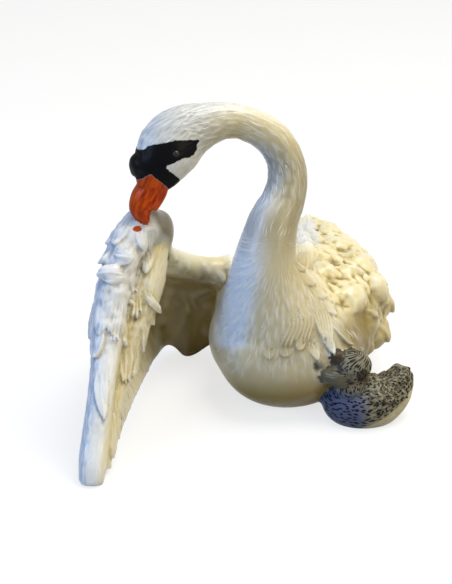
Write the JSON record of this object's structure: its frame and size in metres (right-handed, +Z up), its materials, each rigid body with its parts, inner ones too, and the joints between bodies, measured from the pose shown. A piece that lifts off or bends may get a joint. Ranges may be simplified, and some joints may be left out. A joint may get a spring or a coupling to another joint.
{
  "type": "swan figurine",
  "caption": "Cast figurine of a preening swan with one wing lowered to the ground and a cygnet against its flank; stands free on its flat underside.",
  "frame": {"origin": "middle of the flat patch under the swan's belly, on the ground", "axes": "+Z up, +X to the swan's left wing and the cygnet, -Y to the front, where the breast and the open wing's tip point"},
  "size_m": [0.1315, 0.1522, 0.1264],
  "materials": {
    "painted_resin": "pearly cream-white paint under a gloss coat, with a black face, an orange bill and a grey cygnet"
  },
  "bodies": {
    "root": {"swan_figurine": "painted_resin"}
  },
  "joints": []
}
